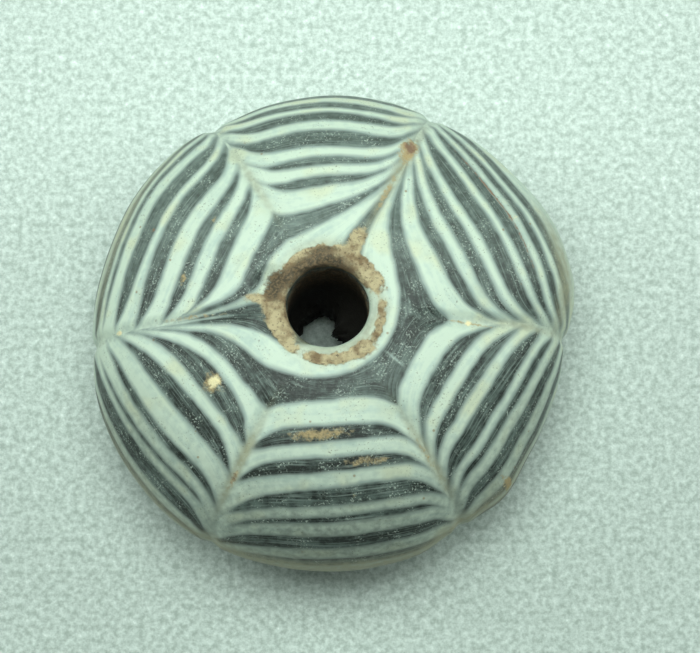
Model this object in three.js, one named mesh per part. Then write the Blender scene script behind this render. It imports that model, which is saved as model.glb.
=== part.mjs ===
import * as THREE from 'three';
import { mergeVertices } from 'three/addons/utils/BufferGeometryUtils.js';

// A glass spindle whorl: a flattened dome of dark glass, bored through for the spindle and worked by hand.
// Millimetres, +Z up. The bore's axis is the Z axis, and the flat of the underside lies on z = 0.

// Overall sizes.
const OUTER_DIAMETER = 35;
const HEIGHT = 16.6;
const EQUATOR_HEIGHT = 7.3;
const BORE_DIAMETER = 5.9;
const BASE_DIAMETER = 17;

// Rounding of the bore's two mouths.
const TOP_LIP = 0.7;
const BASE_LIP = 0.5;

// How full the dome is: 2 makes an ellipse, and more makes it squarer.
const DOME_FULLNESS = 2.25;

// The uneven outline at the widest level: bearing in degrees from +X, then how far the glass stands
// outside its mean radius.
const OUTLINE = [
  [-177, -0.28],
  [-162, 0.02],
  [-145, 0.18],
  [-130, 0.34],
  [-120, 0.4],
  [-110, 0.19],
  [-97, 0.12],
  [-78, 0.12],
  [-68, 0.19],
  [-60, -0.1],
  [-51, -0.01],
  [-43, 0.15],
  [-31, -0.3],
  [-12, -0.3],
  [-3, -0.15],
  [3, 0.29],
  [10, 0.74],
  [17, 0.81],
  [24, 0.77],
  [30, 0.66],
  [39, 0.35],
  [51, 0.15],
  [60, 0.04],
  [68, 0.08],
  [82, 0.01],
  [90, -0.04],
  [98, -0.12],
  [105, -0.19],
  [112, -0.32],
  [118, -0.27],
  [125, -0.11],
  [133, -0.12],
  [147, -0.22],
  [158, -0.43],
  [172, -0.42],
  [179, -0.36],
];

// Six furrows were combed outward through the soft glass. Each starts at a distance from the rim of the
// bore, and its bearing in degrees drifts on the way out.
const FURROWS = [
  { start: 0.4, bearings: [-177, -175, -175] },
  { start: 3.2, bearings: [-120.6, -119.6, -118.5] },
  { start: 4.2, bearings: [-55.6, -55, -56.3] },
  { start: 2.2, bearings: [-7.5, -5.2, -2.5] },
  { start: 0.2, bearings: [66, 62.5, 64] },
  { start: 2.8, bearings: [119.4, 119.6, 119.8] },
];
const BEARING_DISTANCES = [2, 7, 12];
const FURROW_DEPTH = 0.24;
const FURROW_HALF_WIDTH = 0.85;
const FURROW_RUN_IN = 2.5;
const FURROW_PAST_EQUATOR = 6;

// The glass swells a little between the furrows.
const PILLOW_DEPTH = 0.12;
const PILLOW_HALF_WIDTH = 3.2;

// An old chip in the rim of the bore, on the side between the upper left and the left furrow.
const CHIP_BEARING = 160;
const CHIP_RIM_OFFSET = 1.1;
const CHIP_RADIUS = 1.5;
const CHIP_DEPTH = 0.42;

// How finely the surface is cut into facets.
const COLUMNS_PER_PANEL = 16;
const DOME_ROWS = 22;
const UNDERSIDE_ROWS = 9;
const BASE_ROWS = 3;
const LIP_ROWS = 4;
const BORE_ROWS = 4;
const COLUMN_CROWDING = 0.75;

const EQUATOR_RADIUS = OUTER_DIAMETER / 2;
const BORE_RADIUS = BORE_DIAMETER / 2;
const BASE_RADIUS = BASE_DIAMETER / 2;
const RIM_RADIUS = BORE_RADIUS + TOP_LIP;

// A smooth curve through a table of [place, value] pairs, held level beyond its two ends.
function readAlong(table, place) {
  const last = table.length - 1;
  if (place <= table[0][0]) return table[0][1];
  if (place >= table[last][0]) return table[last][1];
  let left = 0;
  while (table[left + 1][0] < place) left += 1;
  const slopeAt = (index) => {
    const before = table[Math.max(index - 1, 0)];
    const after = table[Math.min(index + 1, last)];
    return (after[1] - before[1]) / (after[0] - before[0]);
  };
  const [startPlace, startValue] = table[left];
  const [endPlace, endValue] = table[left + 1];
  const span = endPlace - startPlace;
  const t = (place - startPlace) / span;
  const blend = t * t * (3 - 2 * t);
  const startPull = t * (1 - t) * (1 - t) * span * slopeAt(left);
  const endPull = t * t * (t - 1) * span * slopeAt(left + 1);
  return startValue + (endValue - startValue) * blend + startPull + endPull;
}

// The outline table, run on past both ends so that it closes without a seam.
function closedOutline() {
  const tail = OUTLINE.slice(-2).map(([bearing, offset]) => [bearing - 360, offset]);
  const head = OUTLINE.slice(0, 2).map(([bearing, offset]) => [bearing + 360, offset]);
  return [...tail, ...OUTLINE, ...head];
}

const OUTLINE_RING = closedOutline();

// How far the glass stands outside its mean shape at a bearing in radians and a distance from the axis.
function outlineShift(bearing, radius) {
  const degrees = THREE.MathUtils.radToDeg(Math.atan2(Math.sin(bearing), Math.cos(bearing)));
  const share = Math.max(0, (radius - RIM_RADIUS) / (EQUATOR_RADIUS - RIM_RADIUS));
  return share * readAlong(OUTLINE_RING, degrees);
}

// A rounded mouth of the bore, from the wall out to the face, as points of radius and height.
function lipPoints(lip, wallEnd, opensUp) {
  const faceAngle = opensUp ? Math.PI / 2 : 1.5 * Math.PI;
  const arc = new THREE.EllipseCurve(BORE_RADIUS + lip, wallEnd, lip, lip, Math.PI, faceAngle, opensUp);
  return arc.getPoints(LIP_ROWS);
}

// The dome from the rim of the bore down to the widest level.
function domePoints() {
  const power = 2 / DOME_FULLNESS;
  const rimAngle = Math.asin((RIM_RADIUS / EQUATOR_RADIUS) ** (1 / power));
  const rise = (HEIGHT - EQUATOR_HEIGHT) / Math.cos(rimAngle) ** power;
  const points = [];
  for (let row = 0; row <= DOME_ROWS; row++) {
    const angle = THREE.MathUtils.lerp(rimAngle, Math.PI / 2, row / DOME_ROWS);
    const lift = Math.max(0, Math.cos(angle)) ** power;
    points.push(new THREE.Vector2(EQUATOR_RADIUS * Math.sin(angle) ** power, EQUATOR_HEIGHT + rise * lift));
  }
  return points;
}

// The rounded underside from the widest level in to the flat that the whorl stands on.
function undersidePoints() {
  const width = EQUATOR_RADIUS - BASE_RADIUS;
  const drop = EQUATOR_HEIGHT;
  const arc = new THREE.EllipseCurve(BASE_RADIUS, EQUATOR_HEIGHT, width, drop, 0, -Math.PI / 2, true);
  return arc.getPoints(UNDERSIDE_ROWS);
}

// Evenly spaced points on a straight stretch, without its first.
function straightPoints(from, to, rows) {
  return Array.from({ length: rows }, (_, row) => from.clone().lerp(to, (row + 1) / rows));
}

// The whole closed half section: up the bore, over the dome, under the glass and back to the bore.
function sectionPoints() {
  const topLip = lipPoints(TOP_LIP, HEIGHT - TOP_LIP, true);
  const baseLip = lipPoints(BASE_LIP, BASE_LIP, false).reverse();
  const dome = domePoints().slice(1);
  const underside = undersidePoints().slice(1);
  const flat = straightPoints(underside[underside.length - 1], baseLip[0], BASE_ROWS);
  const bore = straightPoints(baseLip[LIP_ROWS], topLip[0], BORE_ROWS);
  return [...topLip, ...dome, ...underside, ...flat, ...baseLip.slice(1), ...bore];
}

// The section's points with the way the surface faces there, the distance from the rim along the dome,
// and whether the outside's relief is cut there.
function sectionStations() {
  const points = sectionPoints();
  const count = points.length - 1;
  const undersideEnd = LIP_ROWS + DOME_ROWS + UNDERSIDE_ROWS;
  let distance = 0;
  return points.map((point, index) => {
    const before = points[(index - 1 + count) % count];
    const after = points[(index + 1) % count];
    const along = after.clone().sub(before).normalize();
    if (index > LIP_ROWS) distance += point.distanceTo(points[index - 1]);
    const outward = new THREE.Vector2(-along.y, along.x);
    const carved = index >= LIP_ROWS && index < undersideEnd;
    return { radius: point.x, height: point.y, outward, distance, carved };
  });
}

const SECTION = sectionStations();
const EQUATOR_DISTANCE = SECTION[LIP_ROWS + DOME_ROWS].distance;

// A furrow's bearing in radians at a distance from the rim.
function furrowBearing(furrow, distance) {
  const table = BEARING_DISTANCES.map((place, index) => [place, furrow.bearings[index]]);
  return THREE.MathUtils.degToRad(readAlong(table, distance));
}

// The bearing of one column of facets. Columns crowd together toward the furrows, away from the bore.
function columnBearing(column, distance) {
  const panel = Math.floor(column / COLUMNS_PER_PANEL) % FURROWS.length;
  const next = (panel + 1) % FURROWS.length;
  const from = furrowBearing(FURROWS[panel], distance);
  const to = furrowBearing(FURROWS[next], distance) + (next === 0 ? 2 * Math.PI : 0);
  const share = (column % COLUMNS_PER_PANEL) / COLUMNS_PER_PANEL;
  const crowding = COLUMN_CROWDING * THREE.MathUtils.smoothstep(distance, 0, EQUATOR_DISTANCE / 2);
  return THREE.MathUtils.lerp(from, to, share - crowding * Math.sin(2 * Math.PI * share) / (2 * Math.PI));
}

// A smooth hollow, 1 deep in its middle and 0 beyond its reach.
function hollow(offset, reach) {
  const share = Math.min(1, Math.abs(offset) / reach);
  return (1 - share * share) ** 2;
}

// How far the furrows and the swelling between them lower the surface at a station and a bearing.
function furrowCut(station, bearing) {
  let cut = 0;
  for (const furrow of FURROWS) {
    const turn = bearing - furrowBearing(furrow, station.distance);
    const offset = station.radius * Math.atan2(Math.sin(turn), Math.cos(turn));
    const runIn = THREE.MathUtils.smoothstep(station.distance, furrow.start, furrow.start + FURROW_RUN_IN);
    const end = EQUATOR_DISTANCE + FURROW_PAST_EQUATOR;
    const runOut = 1 - THREE.MathUtils.smoothstep(station.distance, EQUATOR_DISTANCE, end);
    const groove = FURROW_DEPTH * hollow(offset, FURROW_HALF_WIDTH);
    const swell = PILLOW_DEPTH * hollow(offset, PILLOW_HALF_WIDTH);
    cut += (groove + swell) * runIn * runOut;
  }
  return cut;
}

// How far the chip lowers the surface at a point.
function chipCut(x, y, z) {
  const bearing = THREE.MathUtils.degToRad(CHIP_BEARING);
  const radius = BORE_RADIUS + CHIP_RIM_OFFSET;
  const away = Math.hypot(x - radius * Math.cos(bearing), y - radius * Math.sin(bearing), z - HEIGHT);
  return CHIP_DEPTH * hollow(away, CHIP_RADIUS);
}

// The finished surface point at a station of the section and a column of facets.
function surfacePoint(station, column) {
  const bearing = columnBearing(column, station.distance);
  const radius = station.radius + outlineShift(bearing, station.radius);
  const chip = chipCut(radius * Math.cos(bearing), radius * Math.sin(bearing), station.height);
  const cut = chip + (station.carved ? furrowCut(station, bearing) : 0);
  const reach = radius - cut * station.outward.x;
  return new THREE.Vector3(reach * Math.cos(bearing), reach * Math.sin(bearing),
    station.height - cut * station.outward.y);
}

// The turned section, with every vertex moved onto the hand-worked surface and its seams joined. The
// section is walked up its outside, so that the faces point outward.
function whorlGeometry() {
  const stations = [...SECTION].reverse();
  const section = stations.map((station) => new THREE.Vector2(station.radius, station.height));
  const columns = COLUMNS_PER_PANEL * FURROWS.length;
  const geometry = new THREE.LatheGeometry(section, columns);
  const position = geometry.getAttribute('position');
  for (let index = 0; index < position.count; index++) {
    const row = index % stations.length;
    const station = stations[row % (stations.length - 1)];
    const column = Math.floor(index / stations.length) % columns;
    const point = surfacePoint(station, column);
    position.setXYZ(index, point.x, point.y, point.z);
  }
  geometry.deleteAttribute('normal');
  geometry.deleteAttribute('uv');
  const joined = mergeVertices(geometry, 0.0001);
  joined.computeVertexNormals();
  return joined;
}

const glass = new THREE.MeshStandardMaterial({ color: 0x3f4a42, roughness: 0.38, metalness: 0 });

const whorl = new THREE.Mesh(whorlGeometry(), glass);
whorl.name = 'whorl';

const group = new THREE.Group();
group.add(whorl);

export default group;
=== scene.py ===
"""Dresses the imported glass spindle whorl: its combed trails, weathered skin, soil and studio."""

import logging
import math
from dataclasses import dataclass, field
from enum import Enum

import bpy
import numpy as np
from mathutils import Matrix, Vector


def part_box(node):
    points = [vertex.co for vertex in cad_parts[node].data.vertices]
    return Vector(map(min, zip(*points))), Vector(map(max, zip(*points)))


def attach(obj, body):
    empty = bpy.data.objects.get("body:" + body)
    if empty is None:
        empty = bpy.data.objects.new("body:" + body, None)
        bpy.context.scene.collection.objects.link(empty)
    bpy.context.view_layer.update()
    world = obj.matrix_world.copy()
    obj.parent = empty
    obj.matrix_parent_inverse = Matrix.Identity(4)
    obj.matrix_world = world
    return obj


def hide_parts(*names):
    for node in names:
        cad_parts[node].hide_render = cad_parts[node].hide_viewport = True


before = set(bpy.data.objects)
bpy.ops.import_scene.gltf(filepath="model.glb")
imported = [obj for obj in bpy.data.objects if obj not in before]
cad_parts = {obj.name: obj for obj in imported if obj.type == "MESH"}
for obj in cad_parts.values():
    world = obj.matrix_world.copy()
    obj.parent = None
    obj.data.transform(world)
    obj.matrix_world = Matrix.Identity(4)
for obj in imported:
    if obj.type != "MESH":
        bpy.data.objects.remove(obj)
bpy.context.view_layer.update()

LOG = logging.getLogger("whorl")

# One millimetre in Blender's metres. Every size below is in millimetres and every bearing in degrees.
MM = 0.001
SEED = 19
FULL_TURN = 360.0


def smooth_step(value: np.ndarray, low: float, high: float) -> np.ndarray:
    """Rises smoothly from 0 to 1.

    Args:
        value: Where to read the rise.
        low: The value where it leaves 0.
        high: The value where it reaches 1.

    Returns:
        The height of the rise, between 0 and 1.
    """
    share = np.clip((value - low) / (high - low), 0.0, 1.0)
    return share * share * (3.0 - 2.0 * share)


def hollow(offset: np.ndarray, reach: float) -> np.ndarray:
    """A smooth dip, 1 in its middle and 0 beyond its reach.

    Args:
        offset: Distance from the middle of the dip.
        reach: Distance at which the dip ends.

    Returns:
        The share of the dip's full depth.
    """
    share = np.minimum(1.0, np.abs(offset) / reach)
    return (1.0 - share * share) ** 2


def read_along(places: np.ndarray, values: np.ndarray, at: np.ndarray) -> np.ndarray:
    """Reads a smooth curve through a few given values, held level beyond both ends.

    Args:
        places: Where the values stand, in rising order.
        values: The value at each place.
        at: Where to read.

    Returns:
        The curve at each place asked for.
    """
    slopes = np.empty(len(values))
    slopes[1:-1] = (values[2:] - values[:-2]) / (places[2:] - places[:-2])
    slopes[0] = (values[1] - values[0]) / (places[1] - places[0])
    slopes[-1] = (values[-1] - values[-2]) / (places[-1] - places[-2])
    at = np.clip(at, places[0], places[-1])
    left = np.clip(np.searchsorted(places, at, side="right") - 1, 0, len(places) - 2)
    span = places[left + 1] - places[left]
    t = (at - places[left]) / span
    blend = t * t * (3.0 - 2.0 * t)
    pulls = t * (1.0 - t) ** 2 * slopes[left] + t * t * (t - 1.0) * slopes[left + 1]
    return values[left] + (values[left + 1] - values[left]) * blend + span * pulls


def wrapped(degrees: np.ndarray) -> np.ndarray:
    """A bearing brought between -180 and 180 degrees."""
    return (degrees + FULL_TURN / 2) % FULL_TURN - FULL_TURN / 2


def uneven(lumps: np.ndarray, mean: float, swing: float) -> np.ndarray:
    """An amount that swings about its mean with the lumps."""
    return mean + swing * lumps


def linear_colour(code: str) -> tuple[float, float, float, float]:
    """Turns an sRGB hex colour into Blender's linear colour.

    Args:
        code: Six hex digits after a hash sign.

    Returns:
        Red, green and blue in linear light, and a full alpha.
    """
    parts = [int(code[i:i + 2], 16) / 255.0 for i in (1, 3, 5)]
    curved = [p / 12.92 if p <= 0.04045 else ((p + 0.055) / 1.055) ** 2.4 for p in parts]
    return (curved[0], curved[1], curved[2], 1.0)


@dataclass(frozen=True)
class Ripple:
    """Smooth random lumps made of crossing waves, the same on each run."""

    seed: int
    finest: float
    waves: int = 28
    spread: float = 1.4

    def at(self, x: np.ndarray, y: np.ndarray, z: np.ndarray) -> np.ndarray:
        """Reads the lumps.

        Args:
            x: Places along X, in mm.
            y: Places along Y, in mm.
            z: Places along Z, in mm.

        Returns:
            Lumps of about -1 to 1.
        """
        draw = np.random.default_rng(self.seed)
        total = np.zeros_like(x)
        weight = 0.0
        for _ in range(self.waves):
            length = self.finest * math.exp(draw.uniform(0.0, self.spread))
            way = draw.normal(size=3)
            way *= 2.0 * math.pi / length / np.linalg.norm(way)
            size = math.sqrt(length)
            phase = draw.uniform(0.0, 2.0 * math.pi)
            total += size * np.sin(way[0] * x + way[1] * y + way[2] * z + phase)
            weight += size * size / 2.0
        return total / math.sqrt(weight)


@dataclass(frozen=True)
class Section:
    """The whorl's half section: a full dome over a rounded underside, with a straight bore."""

    outer_diameter: float = 35.0
    height: float = 16.6
    equator_height: float = 7.3
    bore_diameter: float = 5.9
    base_diameter: float = 17.0
    top_lip: float = 0.7
    base_lip: float = 0.5
    dome_fullness: float = 2.25
    dome_rows: int = 138
    underside_rows: int = 34
    base_rows: int = 6
    lip_rows: int = 8
    bore_rows: int = 36

    @property
    def equator_radius(self) -> float:
        """Mean radius at the widest level."""
        return self.outer_diameter / 2

    @property
    def bore_radius(self) -> float:
        """Radius of the bore's wall."""
        return self.bore_diameter / 2

    @property
    def base_radius(self) -> float:
        """Radius of the flat that the whorl stands on."""
        return self.base_diameter / 2

    @property
    def rim_radius(self) -> float:
        """Radius where the lip of the bore meets the dome."""
        return self.bore_radius + self.top_lip

    def lip(self, size: float, wall_end: float, face_turn: float) -> np.ndarray:
        """One rounded mouth of the bore.

        Args:
            size: Radius of the rounding.
            wall_end: Height where the straight wall ends.
            face_turn: Angle of the arc's end on the face, in degrees.

        Returns:
            Rows of radius and height, from the wall to the face.
        """
        turn = np.radians(np.linspace(180.0, face_turn, self.lip_rows + 1))
        return np.stack([self.bore_radius + size + size * np.cos(turn), wall_end + size * np.sin(turn)], 1)

    def dome(self) -> np.ndarray:
        """The dome from the rim of the bore to the widest level.

        Returns:
            Rows of radius and height.
        """
        power = 2.0 / self.dome_fullness
        rim_angle = math.asin((self.rim_radius / self.equator_radius) ** (1.0 / power))
        rise = (self.height - self.equator_height) / math.cos(rim_angle) ** power
        angle = np.linspace(rim_angle, math.pi / 2, self.dome_rows + 1)
        lift = np.maximum(0.0, np.cos(angle)) ** power
        return np.stack([self.equator_radius * np.sin(angle) ** power, self.equator_height + rise * lift], 1)

    def underside(self) -> np.ndarray:
        """The underside from the widest level to the flat.

        Returns:
            Rows of radius and height.
        """
        angle = np.linspace(0.0, math.pi / 2, self.underside_rows + 1)
        width = self.equator_radius - self.base_radius
        radius = self.base_radius + width * np.cos(angle)
        return np.stack([radius, self.equator_height * (1.0 - np.sin(angle))], 1)

    def points(self) -> np.ndarray:
        """The whole closed half section, from the top of the bore's wall outward and round.

        Returns:
            Rows of radius and height, without the last point, which is the first.
        """
        top = self.lip(self.top_lip, self.height - self.top_lip, 90.0)
        base = self.lip(self.base_lip, self.base_lip, 270.0)[::-1]
        dome = self.dome()[1:]
        underside = self.underside()[1:]
        flat_share = np.linspace(0.0, 1.0, self.base_rows + 1)[1:, None]
        flat = underside[-1] + (base[0] - underside[-1]) * flat_share
        bore_share = np.linspace(0.0, 1.0, self.bore_rows + 1)[1:-1, None]
        bore = base[-1] + (top[0] - base[-1]) * bore_share
        return np.concatenate([top, dome, underside, flat, base[1:], bore])


@dataclass(frozen=True)
class Furrow:
    """One line along which a comb dragged the soft trails outward, and the groove that it left."""

    name: str
    start: float
    bearings: tuple[float, float, float]
    drag: tuple[float, float, float, float]
    reach_before: tuple[float, float, float, float]
    reach_after: tuple[float, float, float, float]
    smear_before: float
    smear_after: float
    drag_before: tuple[float, ...] = ()


# The bearings are read at these distances from the rim, and the drags and reaches, in mm, at these lays.
BEARING_DISTANCES = (2.0, 7.0, 12.0)
DRAG_LAYS = (-2.0, 1.0, 4.0, 12.0)

FURROWS = (
    Furrow("left", 0.4, (-177.0, -175.0, -175.0),
           (9.0, 9.0, 6.0, 2.6), (0.4, 0.45, 1.5, 2.4), (0.3, 0.55, 1.1, 2.8), 0.9, 1.2,
           (9.0, 9.0, 2.8, 1.6)),
    Furrow("lower_left", 3.2, (-120.6, -119.6, -118.5),
           (0.0, -0.5, 2.4, 3.3), (2.0, 2.0, 1.6, 1.2), (2.0, 2.0, 1.6, 1.9), 0.8, 0.65),
    Furrow("lower_right", 4.2, (-55.6, -55.0, -56.3),
           (0.0, 0.0, 3.6, 3.3), (0.75, 0.75, 1.0, 1.7), (0.7, 0.7, 0.85, 1.1), 0.8, 0.6),
    Furrow("right", 2.2, (-7.5, -5.2, -2.5),
           (0.0, 0.0, 4.4, 3.8), (0.75, 0.75, 0.85, 3.2), (0.9, 0.9, 1.15, 1.7), 0.6, 0.5),
    Furrow("upper_right", 0.2, (66.0, 62.5, 64.0),
           (8.6, 7.2, 5.6, 3.2), (0.45, 1.2, 1.6, 2.8), (0.6, 1.25, 1.2, 0.95), 0.85, 1.3),
    Furrow("upper_left", 2.8, (119.4, 119.6, 119.8),
           (0.0, 0.0, 2.5, 3.2), (0.85, 0.85, 0.95, 1.0), (0.75, 0.8, 1.2, 0.65), 0.95, 0.55),
)

# The uneven outline at the widest level: bearing, then how far the glass stands outside its mean radius.
OUTLINE = (
    (-177, -0.28), (-162, 0.02), (-145, 0.18), (-130, 0.34), (-120, 0.4), (-110, 0.19),
    (-97, 0.12), (-78, 0.12), (-68, 0.19), (-60, -0.1), (-51, -0.01), (-43, 0.15),
    (-31, -0.3), (-12, -0.3), (-3, -0.15), (3, 0.29), (10, 0.74), (17, 0.81),
    (24, 0.77), (30, 0.66), (39, 0.35), (51, 0.15), (60, 0.04), (68, 0.08),
    (82, 0.01), (90, -0.04), (98, -0.12), (105, -0.19), (112, -0.32), (118, -0.27),
    (125, -0.11), (133, -0.12), (147, -0.22), (158, -0.43), (172, -0.42), (179, -0.36),
)

# The white trail's two edges at the middle of each panel, as distances along the dome, turn by turn from
# the bore outward. The panels run from the left furrow round by the bottom. A 0 lies under the rim.
TRAIL_TURNS = (
    ((0.35, 2.4), (0, 1.05), (0, 0.95), (0, 1.35), (0, 1.95), (0, 1.05)),
    ((3.85, 4.9), (2.55, 4.45), (3.05, 4.9), (2.55, 4.25), (3.05, 4.85), (2.1, 3.95)),
    ((6.5, 7.6), (5.5, 6.7), (6.0, 7.2), (5.05, 6.1), (5.55, 6.55), (4.8, 6.1)),
    ((8.9, 10.9), (7.65, 8.9), (8.05, 9.2), (6.95, 7.9), (7.2, 8.25), (6.85, 8.4)),
    ((11.4, 12.5), (10.2, 11.05), (10.4, 11.3), (9.1, 9.95), (9.7, 10.9), (9.6, 10.5)),
    ((12.7, 13.5), (11.5, 12.75), (11.75, 12.8), (10.75, 11.6), (11.75, 12.55), (11.65, 13.0)),
    ((15.0, 16.1), (13.9, 15.2), (13.8, 15.2), (12.1, 12.9), (13.3, 14.6), (13.3, 14.0)),
    ((17.2, 18.3), (16.25, 17.4), (16.0, 17.2), (13.65, 17.3), (15.5, 16.2), (14.5, 15.7)),
)


@dataclass
class HandWork:
    """Everything that makes the turned shape a hand-worked one: outline, furrows, swells and the chip."""

    section: Section
    furrow_depth: float = 0.24
    furrow_half_width: float = 0.85
    furrow_run_in: float = 2.5
    furrow_past_equator: float = 6.0
    pillow_depth: float = 0.12
    pillow_half_width: float = 3.2
    chip_bearing: float = 160.0
    chip_rim_offset: float = 1.35
    chip_radius: float = 1.75
    chip_depth: float = 0.85

    def shift(self, bearing: np.ndarray, radius: np.ndarray) -> np.ndarray:
        """How far the uneven outline moves the glass away from the axis.

        Args:
            bearing: Bearings in degrees.
            radius: Distances from the axis.

        Returns:
            The move in mm, none at the bore and all of it at the widest level.
        """
        table = np.array(OUTLINE, float)
        turn = np.array([FULL_TURN, 0.0])
        ring = np.concatenate([table[-2:] - turn, table, table[:2] + turn])
        rim = self.section.rim_radius
        share = np.maximum(0.0, (radius - rim) / (self.section.equator_radius - rim))
        return share * read_along(ring[:, 0], ring[:, 1], wrapped(bearing))

    def furrow_bearing(self, number: int, distance: np.ndarray) -> np.ndarray:
        """The bearing of a furrow at distances from the rim.

        Args:
            number: Which furrow, counted on past the last.
            distance: Distances from the rim along the dome.

        Returns:
            Bearings in degrees, counted on past a full turn.
        """
        furrow = FURROWS[number % len(FURROWS)]
        bearing = read_along(np.array(BEARING_DISTANCES), np.array(furrow.bearings), distance)
        return bearing + FULL_TURN * (number // len(FURROWS))

    def furrow_cut(
        self, bearing: np.ndarray, radius: np.ndarray, distance: np.ndarray, end: float
    ) -> np.ndarray:
        """How far the furrows and the swells between them lower the surface.

        Args:
            bearing: Bearings in degrees.
            radius: Distances from the axis.
            distance: Distances from the rim along the dome.
            end: The distance at the widest level.

        Returns:
            The cut in mm.
        """
        cut = np.zeros_like(bearing)
        for number, furrow in enumerate(FURROWS):
            turn = np.radians(wrapped(bearing - self.furrow_bearing(number, distance)))
            offset = radius * turn
            run_in = smooth_step(distance, furrow.start, furrow.start + self.furrow_run_in)
            run_out = 1.0 - smooth_step(distance, end, end + self.furrow_past_equator)
            groove = self.furrow_depth * hollow(offset, self.furrow_half_width)
            swell = self.pillow_depth * hollow(offset, self.pillow_half_width)
            cut += (groove + swell) * run_in * run_out
        return cut

    def chip_cut(self, x: np.ndarray, y: np.ndarray, z: np.ndarray) -> np.ndarray:
        """How far the chip in the rim lowers the surface.

        Args:
            x: Places along X, in mm.
            y: Places along Y, in mm.
            z: Places along Z, in mm.

        Returns:
            The cut in mm.
        """
        bearing = math.radians(self.chip_bearing)
        radius = self.section.bore_radius + self.chip_rim_offset
        away_x = x - radius * math.cos(bearing)
        away_y = y - radius * math.sin(bearing)
        away = np.sqrt(away_x ** 2 + away_y ** 2 + (z - self.section.height) ** 2)
        return self.chip_depth * hollow(away, self.chip_radius)


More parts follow.
